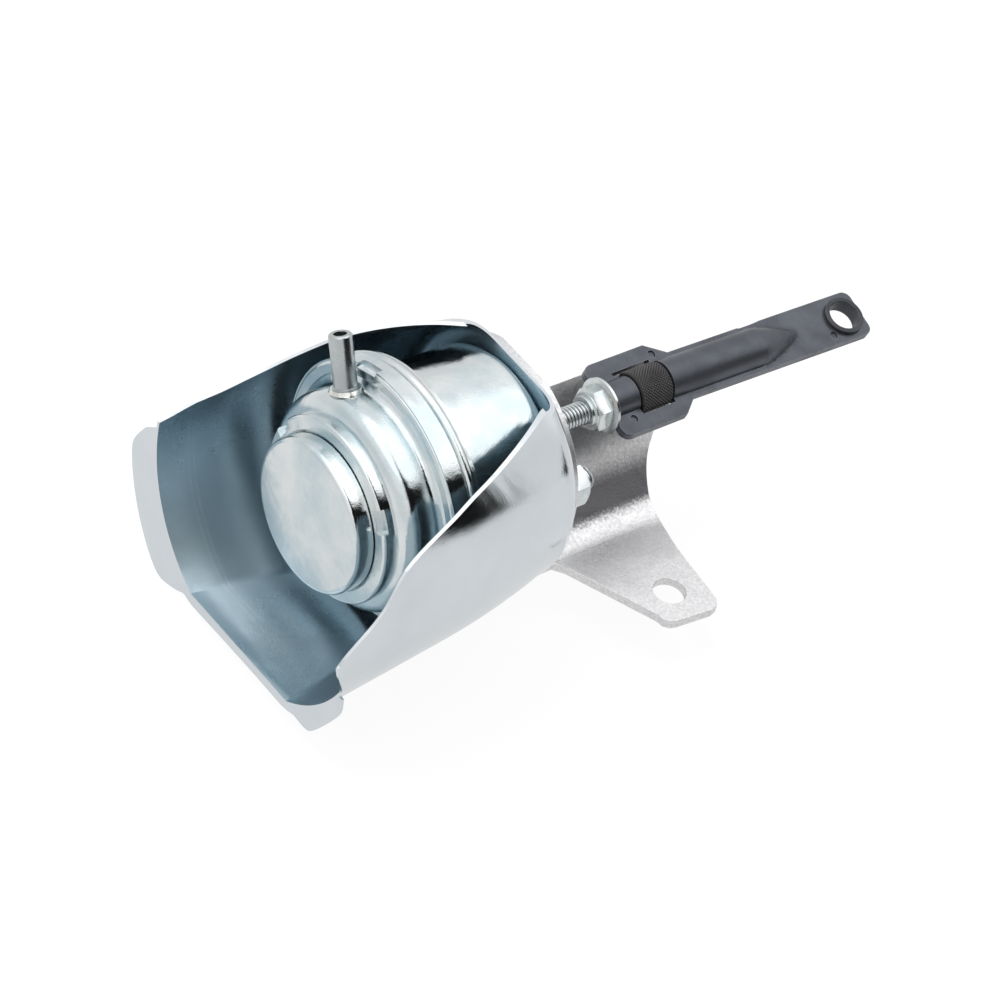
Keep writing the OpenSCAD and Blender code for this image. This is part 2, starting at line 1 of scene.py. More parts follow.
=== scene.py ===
"""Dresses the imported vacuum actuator: finishes, threads, knurls and the studio around it."""
import math

import bmesh
import bpy
from bpy.props import FloatProperty, FloatVectorProperty, IntProperty, PointerProperty
from mathutils import Matrix, Vector
from mathutils.kdtree import KDTree


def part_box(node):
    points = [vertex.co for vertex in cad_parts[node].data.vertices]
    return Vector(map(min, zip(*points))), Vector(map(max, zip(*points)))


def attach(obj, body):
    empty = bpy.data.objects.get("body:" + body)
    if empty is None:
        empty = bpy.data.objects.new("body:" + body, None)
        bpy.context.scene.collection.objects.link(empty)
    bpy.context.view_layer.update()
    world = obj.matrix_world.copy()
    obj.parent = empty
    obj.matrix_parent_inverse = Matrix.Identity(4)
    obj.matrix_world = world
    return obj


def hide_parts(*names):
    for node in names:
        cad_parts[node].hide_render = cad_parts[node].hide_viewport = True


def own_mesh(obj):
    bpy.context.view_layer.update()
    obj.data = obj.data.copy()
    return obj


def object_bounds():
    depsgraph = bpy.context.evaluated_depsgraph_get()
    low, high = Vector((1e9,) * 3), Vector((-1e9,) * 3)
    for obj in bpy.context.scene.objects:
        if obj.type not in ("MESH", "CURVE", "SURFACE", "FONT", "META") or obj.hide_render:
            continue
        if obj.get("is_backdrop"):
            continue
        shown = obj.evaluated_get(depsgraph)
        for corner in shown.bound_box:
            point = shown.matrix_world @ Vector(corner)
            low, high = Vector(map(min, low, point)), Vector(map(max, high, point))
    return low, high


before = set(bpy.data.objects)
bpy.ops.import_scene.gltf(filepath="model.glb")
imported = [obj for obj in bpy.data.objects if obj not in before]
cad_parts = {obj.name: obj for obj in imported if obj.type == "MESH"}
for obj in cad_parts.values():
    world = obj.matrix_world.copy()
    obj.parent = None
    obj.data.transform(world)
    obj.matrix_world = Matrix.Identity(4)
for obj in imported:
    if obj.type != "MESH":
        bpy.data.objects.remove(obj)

bl_info = {
    "name": "Vacuum actuator",
    "version": (1, 0, 0),
    "blender": (4, 5, 0),
    "location": "View3D > Sidebar > Actuator",
    "description": "Adds finishes, threads and a studio to a turbocharger's vacuum actuator",
    "category": "Object",
}

MM = 0.001

# The rod's axis, and the plane of the end cap's face, where x is measured from
ROD_LOW, ROD_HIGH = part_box("rod")
CAP_LOW, CAP_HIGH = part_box("end_cap")
AXIS_Y = (CAP_LOW.y + CAP_HIGH.y) / 2
AXIS_Z = (CAP_LOW.z + CAP_HIGH.z) / 2
FACE_X = CAP_LOW.x

# The rod end's plates are turned about the rod
PLATE_TURN = math.radians(15)
PLATE_UP = Vector((0, -math.sin(PLATE_TURN), math.cos(PLATE_TURN)))
PLATE_ACROSS = Vector((0, math.cos(PLATE_TURN), math.sin(PLATE_TURN)))

# Sizes in millimetres: the threads, the corners that a bevel modifier doesn't round, and where
# along x the rod end's tube runs out into its plate
M6_RADIUS = 3.0
RIM_ROUND = 2.0
CAP_FOOT_ROUND = 0.6
TIP_LOW, TIP_HIGH = 137.0, 154.5

# Marks in the finishes, in the frame's metres: two faint ridges on the shield's floor, painted as
# highlights, and the heights and the X of a painted dark reflection over the bracket's bend
RIDGES_X = (-0.0944, -0.0930)
BEND_LOW, BEND_HIGH = (5.3 * MM, 7.2 * MM), (10.5 * MM, 15.5 * MM)
BEND_X = (-26 * MM, -20 * MM)

# The light tent as mirrors see it. A turn is an angle about Z from +X, a height is the
# upward share of a direction, and each pair is where an edge begins and ends its fade.
OPENING_RIGHT, OPENING_LEFT = (-0.715, -0.665), (-1.95, -1.80)
OPENING_BOTTOM, OPENING_TOP = (-0.04, 0.01), (0.54, 0.60)
OPENING_CORNER, OPENING_SLANT = 0.77, 0.45
OPENING_LEVEL = 0.01
ROOF_EDGE, ROOF_LEVELS = (0.30, 0.62), (0.80, 1.0)
PANEL_RIGHT, PANEL_LEFT = (-1.0, -0.75), (0.20, 0.45)
PANEL_FOOT, PANEL_ROUND = (0.60, 0.72), (0.72, 0.84)
PANEL_LEVEL = 0.55

# The floor's strength in mirrors, and how much of it is plain light and not shaded white
FLOOR_LEVEL = 0.80
FLOOR_SHARE = 0.93

# The lamps' places and sizes, in metres
KEY_PLACE, KEY_SIZE = (-0.25, 0.35, 0.75), 0.7
FILL_PLACE, FILL_SIZE = (-0.70, 0.25, 0.35), 0.6

# The photograph's camera
CAMERA_PLACE = (-0.4919, -0.3828, 0.6049)
CAMERA_RIGHT = (0.786, -0.587, 0.197)
CAMERA_BACK = (-0.538, -0.489, 0.687)
SENSOR_WIDTH = 36


def at(x, y, z):
    """A point given in millimetres from the cap's face and the rod's axis."""
    return Vector((FACE_X + x * MM, AXIS_Y + y * MM, AXIS_Z + z * MM))


def on_x(co):
    """How far a point is along the axis, in millimetres from the cap's face."""
    return (co.x - FACE_X) / MM


def from_axis(co):
    """How far a point is from the axis, in metres."""
    return math.hypot(co.y - AXIS_Y, co.z - AXIS_Z)


def outwards(co):
    """The direction from the axis to a point."""
    return Vector((0, co.y - AXIS_Y, co.z - AXIS_Z)).normalized()


def middle_of(values):
    """Halfway between the least and the greatest of the values."""
    values = list(values)
    return (min(values) + max(values)) / 2


class ActuatorShapes(bpy.types.PropertyGroup):
    """Sizes of the thread, the knurl and the sheet's edges"""
    thread_pitch: FloatProperty(
        name="Thread pitch", description="Pitch of the rod's and the studs' thread",
        default=1.0 * MM, min=0.5 * MM, max=1.5 * MM, unit="LENGTH")
    thread_depth: FloatProperty(
        name="Thread depth", description="Depth of the thread's grooves",
        default=0.56 * MM, min=0.2 * MM, max=0.7 * MM, unit="LENGTH")
    knurl_teeth: IntProperty(
        name="Knurl teeth", description="Teeth of the barrel's knurl around its girth",
        default=40, min=20, max=60)
    knurl_depth: FloatProperty(
        name="Knurl depth", description="Depth of the barrel's knurl",
        default=0.32 * MM, min=0.1 * MM, max=0.5 * MM, unit="LENGTH")
    edge_round: FloatProperty(
        name="Edge rounding", description="Rounding of the cut edges of sheet metal",
        default=0.18 * MM, min=0.05 * MM, max=0.4 * MM, unit="LENGTH")


class ActuatorFinishes(bpy.types.PropertyGroup):
    """Main colours of the finishes"""
    zinc: FloatVectorProperty(
        name="Zinc", description="Colour of the cans' zinc plating",
        default=(0.78, 0.81, 0.81), min=0, max=1, subtype="COLOR")
    zinc_blue: FloatVectorProperty(
        name="Zinc, blue", description="Second colour of the plating, where it is thin",
        default=(0.56, 0.66, 0.70), min=0, max=1, subtype="COLOR")
    shield_out: FloatVectorProperty(
        name="Shield outside", description="Colour of the heat shield's outside",
        default=(0.72, 0.76, 0.79), min=0, max=1, subtype="COLOR")
    # Painted shade: the inside is the outside's zinc, made darker and bluer for the shade within
    # the shield
    shield_in_shaded: FloatVectorProperty(
        name="Shield inside", description="Colour of the heat shield's inside",
        default=(0.52, 0.63, 0.69), min=0, max=1, subtype="COLOR")
    bracket: FloatVectorProperty(
        name="Bracket", description="Colour of the bracket's sanded steel",
        default=(0.84, 0.84, 0.85), min=0, max=1, subtype="COLOR")
    rod_end: FloatVectorProperty(
        name="Rod end", description="Colour of the rod end's phosphated steel",
        default=(0.100, 0.108, 0.124), min=0, max=1, subtype="COLOR")
    barrel: FloatVectorProperty(
        name="Barrel", description="Colour of the knurled barrel",
        default=(0.105, 0.102, 0.104), min=0, max=1, subtype="COLOR")


class ActuatorStudio(bpy.types.PropertyGroup):
    """The lens, the lamps and the floor"""
    lens: FloatProperty(
        name="Focal length", description="Focal length on a 36 mm sensor, in millimetres",
        default=128.2, min=50, max=300)
    key_power: FloatProperty(
        name="Key light", description="Power of the large light above", default=5.0, min=0,
        max=100, unit="POWER")
    fill_power: FloatProperty(
        name="Fill light", description="Power of the light on the left", default=2.0, min=0,
        max=100, unit="POWER")
    floor: FloatVectorProperty(
        name="Floor", description="Colour of the floor", default=(0.93, 0.93, 0.93), min=0,
        max=1, subtype="COLOR")


# Node trees

def link(tree, source, target):
    """Joins an output to an input."""
    tree.links.new(source, target)


def feed(tree, socket, value):
    """Links an input to another node's output, or sets it to a plain value."""
    if hasattr(value, "links"):
        link(tree, value, socket)
    else:
        socket.default_value = value


def add(tree, kind, **values):
    """A new node with the given settings."""
    node = tree.nodes.new(kind)
    for key, value in values.items():
        setattr(node, key, value)
    return node


def group(name, inputs, outputs):
    """A new node group, with its input and its output node."""
    tree = bpy.data.node_groups.new(name, "ShaderNodeTree")
    for socket, kind, value in inputs:
        made = tree.interface.new_socket(name=socket, in_out="INPUT", socket_type=kind)
        if value is not None:
            made.default_value = value
    for socket, kind in outputs:
        tree.interface.new_socket(name=socket, in_out="OUTPUT", socket_type=kind)
    return tree, add(tree, "NodeGroupInput"), add(tree, "NodeGroupOutput")


def noise(tree, vector, scale, detail=3.0, rough=0.5, distortion=0.0):
    """Noise between 0 and 1."""
    node = add(tree, "ShaderNodeTexNoise")
    for key, value in (("Vector", vector), ("Scale", scale), ("Detail", detail),
                       ("Roughness", rough), ("Distortion", distortion)):
        feed(tree, node.inputs[key], value)
    return node.outputs["Fac"]


def spread(tree, value, low, high, to_low=0.0, to_high=1.0):
    """The value, taken softly from the range low to high to the range to_low to to_high."""
    node = add(tree, "ShaderNodeMapRange", interpolation_type="SMOOTHSTEP")
    for key, given in (("Value", value), ("From Min", low), ("From Max", high),
                       ("To Min", to_low), ("To Max", to_high)):
        feed(tree, node.inputs[key], given)
    return node.outputs["Result"]


def fall(tree, value, low, high):
    """1 up to low, and 0 from high on."""
    return spread(tree, value, low, high, to_low=1.0, to_high=0.0)


def math_node(tree, operation, a, b=0.0):
    """The result of one operation on two values."""
    node = add(tree, "ShaderNodeMath", operation=operation)
    feed(tree, node.inputs[0], a)
    feed(tree, node.inputs[1], b)
    return node.outputs[0]


def product(tree, first, *others):
    """All the values multiplied."""
    for other in others:
        first = math_node(tree, "MULTIPLY", first, other)
    return first


def mix_colour(tree, share, a, b):
    """Colour a, taken towards b by the share."""
    node = add(tree, "ShaderNodeMix", data_type="RGBA")
    for socket, value in ((0, share), (6, a), (7, b)):
        feed(tree, node.inputs[socket], value)
    return node.outputs[2]


def full_for_camera(tree, otherwise):
    """1 for the camera's own rays and another value for the rest; and the light path node."""
    paths = add(tree, "ShaderNodeLightPath")
    node = add(tree, "ShaderNodeMix", data_type="FLOAT")
    for socket, value in ((0, paths.outputs["Is Camera Ray"]), (2, otherwise), (3, 1.0)):
        feed(tree, node.inputs[socket], value)
    return node.outputs[0], paths


def part_of(tree, place, axis):
    """One coordinate of a place."""
    node = add(tree, "ShaderNodeSeparateXYZ")
    link(tree, place, node.inputs[0])
    return node.outputs[axis]


def rgba(colour):
    """A colour with full alpha."""
    return (colour[0], colour[1], colour[2], 1.0)


def plating_group():
    """Clouds of a second colour, small dull spots, and a roughness that follows both."""
    tree, given, out = group("Plating", [
        ("Vector", "NodeSocketVector", None), ("Colour", "NodeSocketColor", None),
        ("Second", "NodeSocketColor", None), ("Scale", "NodeSocketFloat", 60.0),
        ("Rough low", "NodeSocketFloat", 0.2), ("Rough high", "NodeSocketFloat", 0.35)],
        [("Colour", "NodeSocketColor"), ("Roughness", "NodeSocketFloat")])
    vector, second = given.outputs["Vector"], given.outputs["Second"]
    clouds = noise(tree, vector, given.outputs["Scale"], detail=5, rough=0.62)
    clouds = spread(tree, clouds, low=0.30, high=0.72)
    spots = spread(tree, noise(tree, vector, scale=1300, detail=2), low=0.62, high=0.78)
    spot_share = 0.35
    colour = mix_colour(tree, clouds, given.outputs["Colour"], second)
    colour = mix_colour(tree, product(tree, spots, spot_share), colour, second)
    dull = math_node(tree, "MAXIMUM", clouds, spots)
    roughness = spread(tree, dull, 0.0, 1.0, given.outputs["Rough low"],
                       given.outputs["Rough high"])
    link(tree, colour, out.inputs["Colour"])
    link(tree, roughness, out.inputs["Roughness"])
    return tree


def grain_group():
    """Height of the rolled sheet: fine pits, and soft waves left by pressing."""
    tree, given, out = group("Sheet grain", [
        ("Vector", "NodeSocketVector", None), ("Fine", "NodeSocketFloat", 2500.0),
        ("Waves", "NodeSocketFloat", 90.0), ("Fine share", "NodeSocketFloat", 0.08)],
        [("Height", "NodeSocketFloat")])
    vector = given.outputs["Vector"]
    fine = noise(tree, vector, given.outputs["Fine"], detail=3, rough=0.6)
    waves = noise(tree, vector, given.outputs["Waves"], detail=2, rough=0.45, distortion=0.6)
    fine = product(tree, fine, given.outputs["Fine share"])
    link(tree, math_node(tree, "ADD", waves, fine), out.inputs["Height"])
    return tree


def wear_group():
    """Share of wear: along the edges, broken up by noise."""
    tree, given, out = group("Edge wear", [
        ("Vector", "NodeSocketVector", None), ("Radius", "NodeSocketFloat", 0.0004),
        ("Amount", "NodeSocketFloat", 0.6)], [("Mask", "NodeSocketFloat")])
    bevel = add(tree, "ShaderNodeBevel", samples=4)
    link(tree, given.outputs["Radius"], bevel.inputs["Radius"])
    plain = add(tree, "ShaderNodeNewGeometry")
    facing = add(tree, "ShaderNodeVectorMath", operation="DOT_PRODUCT")
    link(tree, bevel.outputs[0], facing.inputs[0])
    link(tree, plain.outputs["Normal"], facing.inputs[1])
    edge = spread(tree, facing.outputs["Value"], low=0.995, high=0.90)
    ragged = noise(tree, given.outputs["Vector"], scale=420, detail=4, rough=0.6)
    ragged = spread(tree, ragged, low=0.30, high=0.60)
    link(tree, product(tree, edge, ragged, given.outputs["Amount"]), out.inputs["Mask"])
    return tree


def placed(tree, made, **values):
    """A group's node with its inputs given by name, where _ stands for a space."""
    node = add(tree, "ShaderNodeGroup", node_tree=made)
    for key, value in values.items():
        feed(tree, node.inputs[key.replace("_", " ")], value)
    return node


# Both are filled by the operator that makes the finishes
GROUPS = {}
FINISHES = {}


def painted_ridge_highlight(tree, place, x):
    """Share of a faint broken painted highlight across X = x, where a ridge runs."""
    away = math_node(tree, "SUBTRACT", part_of(tree, place, "X"), x)
    waver = product(tree, noise(tree, place, scale=60, detail=2), 0.8 * MM)
    away = math_node(tree, "ABSOLUTE", math_node(tree, "ADD", away, waver))
    line = spread(tree, away, 0.10 * MM, 0.30 * MM, to_low=0.4, to_high=0.0)
    broken = spread(tree, noise(tree, place, scale=260), 0.40, 0.55, to_low=0.3)
    return product(tree, line, broken)


def painted_bend_reflection(tree, place):
    """Share of a ragged painted dark reflection over the bracket's bend."""
    ragged = product(tree, noise(tree, place, scale=1500, rough=0.7), 3.0 * MM)
    height = math_node(tree, "ADD", part_of(tree, place, "Z"), ragged)
    return product(tree, spread(tree, height, *BEND_LOW), fall(tree, height, *BEND_HIGH),
                   spread(tree, part_of(tree, place, "X"), *BEND_X))


def metal(name, colour, second, rough, metallic=1.0, clouds=60.0, bump=0.10, fine=2500.0,
          waves=90.0, fine_share=0.08, worn=None, wear=0.5, radius=0.0004, groove=None, painted_bend_colour=None,
          ridges=()):
    """A metal finish: clouded colour, uneven gloss, sheet grain and worn edges.

    clouds, fine and waves are scales of noise, and fine_share is how much of the bump is fine.
    Wear reaches radius from an edge. groove colours a thread's depth with painted shade,
    painted_bend_colour is a painted dark reflection over the bracket's bend, and ridges are the X
    of faint painted highlights along ridges."""
    made = bpy.data.materials.new(name)
    made.use_nodes = True
    tree = made.node_tree
    shader = tree.nodes["Principled BSDF"]
    shader.inputs["Metallic"].default_value = metallic
    place = add(tree, "ShaderNodeTexCoord").outputs["Object"]
    plating = placed(tree, GROUPS["plating"], Vector=place, Colour=rgba(colour),
                     Second=rgba(second), Scale=clouds, Rough_low=rough[0], Rough_high=rough[1])
    grain = placed(tree, GROUPS["grain"], Vector=place, Fine=fine, Waves=waves,
                   Fine_share=fine_share)
    edge = placed(tree, GROUPS["wear"], Vector=place, Radius=radius, Amount=wear)
    bare = rgba(worn or colour)
    tint = mix_colour(tree, edge.outputs["Mask"], plating.outputs["Colour"], bare)
    # Painted shade: darker by the depth of a thread's or a knurl's grooves
    if groove:
        depth = add(tree, "ShaderNodeAttribute", attribute_name="groove")
        tint = mix_colour(tree, depth.outputs["Fac"], tint, rgba(groove))
    # Painted highlights: faint lines in the worn colour along the ridges
    for x in ridges:
        tint = mix_colour(tree, painted_ridge_highlight(tree, place, x), tint, bare)
    # Painted reflection: a dark band over the bracket's bend
    if painted_bend_colour:
        tint = mix_colour(tree, painted_bend_reflection(tree, place), tint, rgba(painted_bend_colour))
    link(tree, tint, shader.inputs["Base Color"])
    link(tree, plating.outputs["Roughness"], shader.inputs["Roughness"])
    bumps = add(tree, "ShaderNodeBump")
    bumps.inputs["Strength"].default_value = bump
    bumps.inputs["Distance"].default_value = 1.0 * MM
    link(tree, grain.outputs["Height"], bumps.inputs["Height"])
    link(tree, bumps.outputs["Normal"], shader.inputs["Normal"])
    FINISHES[name] = made
    return made


# Pieces

def smooth(mesh, degrees):
    """Smooth faces, with the edges sharper than the angle kept hard."""
    mesh.polygons.foreach_set("use_smooth", [True] * len(mesh.polygons))
    mesh.set_sharp_from_angle(angle=math.radians(degrees))


def piece(name, bm, finish, body, nodes, degrees=30.0):
    """Makes the object, puts it on the body it rides on, and hides the CAD nodes that it stands
    for.
    """
    mesh = bpy.data.meshes.new(name)
    bm.to_mesh(mesh)
    bm.free()
    smooth(mesh, degrees)
    made = bpy.data.objects.new(name, mesh)
    bpy.context.scene.collection.objects.link(made)
    for one in finish if isinstance(finish, list) else [finish]:
        mesh.materials.append(FINISHES[one])
    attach(made, body)
    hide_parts(*nodes)
    return made


def merged_copy(node):
    """A CAD node's mesh with its loose triangles joined and its flat faces made whole."""
    bm = bmesh.new()
    bm.from_mesh(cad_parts[node].data)
    bmesh.ops.remove_doubles(bm, verts=bm.verts, dist=2e-6)
    bmesh.ops.dissolve_limit(bm, angle_limit=math.radians(0.4), verts=bm.verts, edges=bm.edges)
    return bm


def rounded_edges(made, width, segments=2):
    """Rounds the edges of a finished piece."""
    bevel = made.modifiers.new("Rounded edges", "BEVEL")
    bevel.width = width
    bevel.segments = segments
    bevel.limit_method = "ANGLE"
    bevel.angle_limit = math.radians(32)
    bevel.use_clamp_overlap = True
    bevel.harden_normals = True
    return made


def round_off(bm, edges, radius, segments):
    """Rounds the given edges of a mesh that is still being made."""
    bmesh.ops.bevel(bm, geom=edges, offset=radius, offset_type="OFFSET", segments=segments,
                    profile=0.5, affect="EDGES", clamp_overlap=False, material=-1)


def dress(node, name, finish, body, width, segments=2):
    """A CAD node's own shape, with its edges rounded."""
    made = piece(name, merged_copy(node), finish, body, [node])
    return rounded_edges(made, width, segments)


def wave(value):
    """A triangle wave: 1 in the middle of each unit, 0 at its ends."""
    return 1 - abs(2 * (value % 1.0) - 1)


def wrapped(x0, x1, around, rows, radius_at, full, depth, centre=(0.0, 0.0)):
    """A tube about the axis whose radius follows radius_at(x, turn), in millimetres.

    The attribute groove says how deep below the full radius each vertex lies."""
    bm = bmesh.new()
    groove = bm.verts.layers.float.new("groove")
    bmesh.ops.create_grid(bm, x_segments=rows, y_segments=around, size=0.5)
    for vert in bm.verts:
        x = x0 + (vert.co.x + 0.5) * (x1 - x0)
        turn = vert.co.y + 0.5
        r = radius_at(x, turn % 1.0)
        vert[groove] = min(1.0, max(0.0, (full - r) / depth))
        angle = 2 * math.pi * turn
        vert.co = at(x, centre[0] + r * math.cos(angle), centre[1] + r * math.sin(angle))
    bmesh.ops.remove_doubles(bm, verts=bm.verts, dist=1e-6)
    return bm


def end_loops(bm):
    """The two open ends of a tube, the one with the smaller x first."""
    loose = [e for e in bm.edges if e.is_boundary]
    middle = sum(e.verts[0].co.x for e in loose) / len(loose)
    return ([e for e in loose if e.verts[0].co.x < middle],
            [e for e in loose if e.verts[0].co.x >= middle])


def step_in(bm, edges, radius):
    """Runs a tube's end on to another radius, and returns the new end."""
    inner = {}
    for vert in dict.fromkeys(v for e in edges for v in e.verts):
        y, z = vert.co.y - AXIS_Y, vert.co.z - AXIS_Z
        r = math.hypot(y, z)
        place = (vert.co.x, AXIS_Y + y / r * radius * MM, AXIS_Z + z / r * radius * MM)
        inner[vert] = bm.verts.new(place, vert)
    end = []
    for first, second in [tuple(e.verts) for e in edges]:
        bm.faces.new((first, second, inner[second], inner[first]))
        end.append(bm.edges.get((inner[first], inner[second])))
    return end


def closed(bm):
    """Closes what is still open and turns every face outwards."""
    bmesh.ops.holes_fill(bm, edges=[e for e in bm.edges if e.is_boundary], sides=0)
    bmesh.ops.recalc_face_normals(bm, faces=bm.faces)
    return bm


def screw(low, high, r, plain, centre=(0.0, 0.0)):
    """A bar from low to high, threaded but between the two numbers in plain."""
    shapes = bpy.context.scene.actuator_shapes
    pitch, depth = shapes.thread_pitch / MM, shapes.thread_depth / MM
    crest, chamfer = 1.5, 0.9  # how flat the crests are; the ends' slope and depth
    around, rows_a_turn = 40, 8

    def radius_at(x, turn):
        if plain[0] <= x <= plain[1]:
            return r
        groove = 1 - min(1.0, crest * wave(x / pitch - turn))
        lead = max(0.0, min(x - low, high - x))
        return min(r - depth * groove, r - depth * chamfer + lead * chamfer)
    rows = int((high - low) / pitch * rows_a_turn)
    return closed(wrapped(low, high, around, rows, radius_at, r, depth, centre))


# Operators

class ACTUATOR_OT_finishes(bpy.types.Operator):
    """Makes every finish and gives each CAD node its own"""
    bl_idname = "actuator.finishes"
    bl_label = "Finishes"

    def execute(self, context):
        f = context.scene.actuator_finishes
        GROUPS["plating"] = plating_group()
        GROUPS["grain"] = grain_group()
        GROUPS["wear"] = wear_group()
        metal("can_zinc", f.zinc, f.zinc_blue, (0.07, 0.13), clouds=60, bump=0.20, waves=110,
              fine_share=0.16, worn=(0.80, 0.83, 0.83), radius=0.0002)
        metal("shield_zinc_outside", f.shield_out, (0.66, 0.71, 0.74), (0.08, 0.13), clouds=30,
              bump=0.45, waves=45, fine_share=0.04, worn=(0.62, 0.65, 0.66), radius=0.00015)
        # The inside is a darker, bluer copy of the outside's zinc, as painted shade; its ridges
        # are painted highlights
        metal("shield_zinc_inside_shaded", f.shield_in_shaded, (0.44, 0.54, 0.60), (0.25, 0.35), clouds=28,
              bump=0.30, waves=45, fine_share=0.03, worn=(0.66, 0.70, 0.72), radius=0.00015,
              ridges=RIDGES_X)
        # The bracket's bend takes a painted dark reflection
        metal("bracket_steel", f.bracket, (0.66, 0.66, 0.67), (0.32, 0.42), clouds=1300,
              bump=0.25, fine=2300, fine_share=0.22, worn=(0.80, 0.80, 0.80), radius=0.0002,
              painted_bend_colour=(0.17, 0.17, 0.18))
        metal("nipple_steel", (0.55, 0.58, 0.59), (0.42, 0.46, 0.47), (0.22, 0.36), bump=0.15)
        metal("braze", (0.80, 0.81, 0.79), (0.66, 0.67, 0.62), (0.16, 0.30), clouds=500,
              bump=0.12, waves=700)
        metal("fastener_zinc", (0.76, 0.79, 0.79), (0.62, 0.67, 0.68), (0.18, 0.32), clouds=150,
              bump=0.10)
        # The threads' grooves are darkened as painted shade
        metal("thread_zinc", (0.74, 0.77, 0.78), (0.60, 0.65, 0.67), (0.16, 0.28), clouds=150,
              bump=0.10, groove=(0.10, 0.13, 0.14))
        metal("inner_steel", (0.50, 0.51, 0.52), (0.40, 0.41, 0.42), (0.30, 0.45), bump=0.15)
        metal("spring_steel", (0.30, 0.31, 0.33), (0.22, 0.23, 0.24), (0.30, 0.45), bump=0.1)
        metal("bush_bronze", (0.55, 0.42, 0.24), (0.42, 0.31, 0.17), (0.28, 0.42), bump=0.2)
        metal("rod_end_steel", f.rod_end, (0.074, 0.080, 0.094), (0.32, 0.42), metallic=0.75,
              clouds=110, bump=0.18, fine=2200, fine_share=0.14, worn=(0.26, 0.27, 0.30),
              wear=0.55)
        metal("eye_steel", (0.050, 0.053, 0.061), (0.036, 0.038, 0.045), (0.34, 0.46),
              metallic=0.6, clouds=160, bump=0.15, worn=(0.20, 0.21, 0.23))
        # The knurl's grooves are darkened as painted shade
        metal("barrel_steel", f.barrel, (0.075, 0.072, 0.074), (0.34, 0.46), metallic=0.5,
              clouds=160, bump=0.15, wear=0.0, groove=(0.012, 0.012, 0.013))
        metal("diaphragm_rubber", (0.030, 0.030, 0.031), (0.022, 0.022, 0.024), (0.6, 0.75),
              metallic=0.0, bump=0.3, worn=(0.05, 0.05, 0.05))
        for name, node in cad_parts.items():
            finish = FINISHES[NODE_FINISH[name]]
            if not node.material_slots:
                node.data.materials.append(finish)
            for slot in node.material_slots:
                slot.material = finish
        return {"FINISHED"}


# The finish of each CAD node
NODE_FINISH = {
    "end_cap": "can_zinc", "spring_seat": "inner_steel", "front_can": "can_zinc",
    "hose_nipple": "nipple_steel", "nipple_braze": "braze", "seam_ring": "can_zinc",
    "rear_can": "can_zinc", "guide_bush": "bush_bronze", "heat_shield": "shield_zinc_outside",
    "bracket": "bracket_steel", "studs": "fastener_zinc", "stud_washers": "fastener_zinc",
    "stud_nuts": "fastener_zinc", "diaphragm": "diaphragm_rubber",
    "return_spring": "spring_steel", "piston_cup": "inner_steel",
    "support_plate": "inner_steel", "rod": "fastener_zinc", "rod_sleeve": "inner_steel",
    "rod_end_upper": "rod_end_steel", "rod_end_lower": "rod_end_steel",
    "eye_bush": "rod_end_steel", "clinches": "rod_end_steel", "knurled_barrel": "barrel_steel",
    "lock_nut": "fastener_zinc",
}


def soften_foot(bm, radius):
    """Rounds the inner corner where the cap's wall turns out into its flange."""
    least_angle, inner_edge = 1.0, 19.0 * MM
    bm.normal_update()
    corner = [e for e in bm.edges if len(e.link_faces) == 2 and not e.is_convex
              and e.calc_face_angle() >= least_angle
              and all(from_axis(v.co) > inner_edge for v in e.verts)]
    round_off(bm, corner, radius, segments=5)


class ACTUATOR_OT_cans(bpy.types.Operator):
    """Rounds the edges of the end cap, both cans and the seam"""
    bl_idname = "actuator.cans"
    bl_label = "Cans"

    def execute(self, context):
        for node, name, width in (("end_cap", "cap_pressing", 0.08),
                                  ("front_can", "drum_pressing", 0.2),
                                  ("seam_ring", "seam_band", 0.2),
                                  ("rear_can", "rear_pressing", 0.2)):
            bm = merged_copy(node)
            if node == "end_cap":
                soften_foot(bm, CAP_FOOT_ROUND * MM)
            made = piece(name, bm, "can_zinc", "can", [node])
            rounded_edges(made, width * MM)
        return {"FINISHED"}


class ACTUATOR_OT_nipple(bpy.types.Operator):
    """Rounds the hose nipple and its ring of braze"""
    bl_idname = "actuator.nipple"
    bl_label = "Hose nipple"

    def execute(self, context):
        dress("hose_nipple", "nipple_tube", "nipple_steel", "can", 0.12 * MM)
        dress("nipple_braze", "braze_ring", "braze", "can", 0.3 * MM)
        return {"FINISHED"}


def fold(bm, mouth, radius):
    """Rounds the corner where the turned-out rim meets the bowl, at the shield's mouth."""
    near = 0.02
    to_mouth, to_axis = -0.9, -0.3  # limits for parts of the two faces' normals
    corner = []
    for edge in bm.edges:
        if len(edge.link_faces) != 2 or any(abs(on_x(v.co) - mouth) > near for v in edge.verts):
            continue
        ahead, side = sorted(edge.link_faces, key=lambda f: f.normal.x)
        out = outwards((edge.verts[0].co + edge.verts[1].co) / 2)
        if ahead.normal.x < to_mouth and side.normal.dot(out) < to_axis:
            corner.append(edge)
    round_off(bm, corner, radius, segments=7)


def is_inner(face, mouth):
    """Whether a face of the shield is on its inside. The rim's cut edge is not."""
    rim_width, back_wall = 1.0, 54  # along x, in millimetres
    upright, to_mouth, to_axis = 0.05, -0.5, -0.2  # limits for parts of the face's normal
    if abs(face.normal.x) < upright and max(on_x(v.co) for v in face.verts) < mouth + rim_width:
        return False
    middle = face.calc_center_median()
    if on_x(middle) > back_wall and face.normal.x < to_mouth:
        return True
    return face.normal.dot(outwards(middle)) < to_axis


